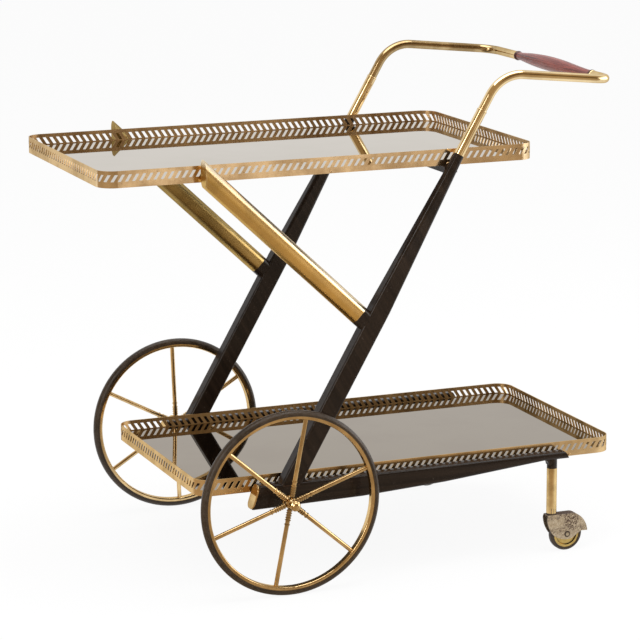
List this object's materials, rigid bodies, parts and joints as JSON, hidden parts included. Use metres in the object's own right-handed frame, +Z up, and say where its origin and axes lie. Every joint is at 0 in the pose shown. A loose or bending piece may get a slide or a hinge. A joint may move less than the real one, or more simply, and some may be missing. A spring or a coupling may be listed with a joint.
{
  "type": "bar cart",
  "caption": "Tiered bar cart with staggered glass trays in pierced galleries, leaning legs with struts, large spoked wheels, swivel casters and a turned wooden grip.",
  "frame": {"origin": "on the floor at the middle of the bounding box", "axes": "+X along the cart towards the handle, +Y across it, +Z up; whoever pushes it stands at +X facing -X, with -Y on the left"},
  "size_m": [0.806, 0.5546, 0.7353],
  "materials": {
    "gallery_brass": "aged, lightly polished",
    "aged_brass": "aged, satin to polished",
    "tray_board": "painted black",
    "dark_glass": "dark, mirror gloss",
    "ebonised_wood": "ebonised, satin lacquer",
    "dowel_wood": "plain beech",
    "steel": "plain",
    "grip_wood": "stained reddish brown, satin",
    "tyre_rubber": "dull, aged",
    "worn_nickel": "nickel plate worn and pitted"
  },
  "bodies": {
    "chassis": {"upper_tray_gallery": "gallery_brass", "lower_tray_gallery": "gallery_brass", "upper_gallery_screws": "gallery_brass", "lower_gallery_screws": "gallery_brass", "upper_tray_board": "tray_board", "lower_tray_board": "tray_board", "upper_tray_glass": "dark_glass", "lower_tray_glass": "dark_glass", "upper_crossbar": "ebonised_wood", "lower_crossbar_rear": "ebonised_wood", "lower_crossbar_front": "ebonised_wood", "leg_left": "ebonised_wood", "leg_right": "ebonised_wood", "beam_left": "ebonised_wood", "beam_right": "ebonised_wood", "crossbar_dowels": "dowel_wood", "upper_tray_screws": "steel", "lower_tray_screws": "steel", "axle_nuts": "steel", "grip_rod": "steel", "axle_left": "steel", "axle_right": "steel", "caster_socket_left": "steel", "caster_socket_right": "steel", "strut_lugs": "aged_brass", "beam_end_plate_left": "aged_brass", "beam_end_plate_right": "aged_brass", "strut_left": "aged_brass", "strut_right": "aged_brass", "strut_cap_left": "aged_brass", "strut_cap_right": "aged_brass", "handle_tube_left": "aged_brass", "handle_tube_right": "aged_brass", "handle_sleeve_left": "aged_brass", "handle_sleeve_right": "aged_brass", "grip_collar_left": "aged_brass", "grip_collar_right": "aged_brass", "axle_caps": "aged_brass", "caster_post_left": "aged_brass", "caster_post_right": "aged_brass", "handle_grip": "grip_wood"},
    "big_wheel_left": {"wheel_tyre_left": "tyre_rubber", "wheel_rim_left": "aged_brass", "wheel_spokes_left": "aged_brass", "wheel_hub_left": "aged_brass"},
    "caster_swivel_left": {"caster_stem_left": "steel", "caster_hood_left": "worn_nickel", "caster_pin_left": "steel"},
    "caster_roller_left": {"caster_wheel_left": "aged_brass", "caster_tyre_left": "tyre_rubber"},
    "big_wheel_right": {"wheel_tyre_right": "tyre_rubber", "wheel_rim_right": "aged_brass", "wheel_spokes_right": "aged_brass", "wheel_hub_right": "aged_brass"},
    "caster_swivel_right": {"caster_stem_right": "steel", "caster_hood_right": "worn_nickel", "caster_pin_right": "steel"},
    "caster_roller_right": {"caster_wheel_right": "aged_brass", "caster_tyre_right": "tyre_rubber"}
  },
  "joints": [
    {"name": "big_wheel_left_spin", "type": "hinge", "parent": "chassis", "child": "big_wheel_left", "pos_m": [-0.148, -0.2515, 0.137], "axis": [0, 1, 0], "continuous": true},
    {"name": "caster_left_swivel", "type": "hinge", "parent": "chassis", "child": "caster_swivel_left", "pos_m": [0.293, -0.204, 0.058], "axis": [0, 0, 1], "continuous": true},
    {"name": "caster_left_roll", "type": "hinge", "parent": "caster_swivel_left", "child": "caster_roller_left", "pos_m": [0.3165, -0.204, 0.026], "axis": [0, 1, 0], "continuous": true},
    {"name": "big_wheel_right_spin", "type": "hinge", "parent": "chassis", "child": "big_wheel_right", "pos_m": [-0.148, 0.2515, 0.137], "axis": [0, 1, 0], "continuous": true},
    {"name": "caster_right_swivel", "type": "hinge", "parent": "chassis", "child": "caster_swivel_right", "pos_m": [0.293, 0.204, 0.058], "axis": [0, 0, 1], "continuous": true},
    {"name": "caster_right_roll", "type": "hinge", "parent": "caster_swivel_right", "child": "caster_roller_right", "pos_m": [0.2695, 0.204, 0.026], "axis": [0, 1, 0], "continuous": true}
  ]
}
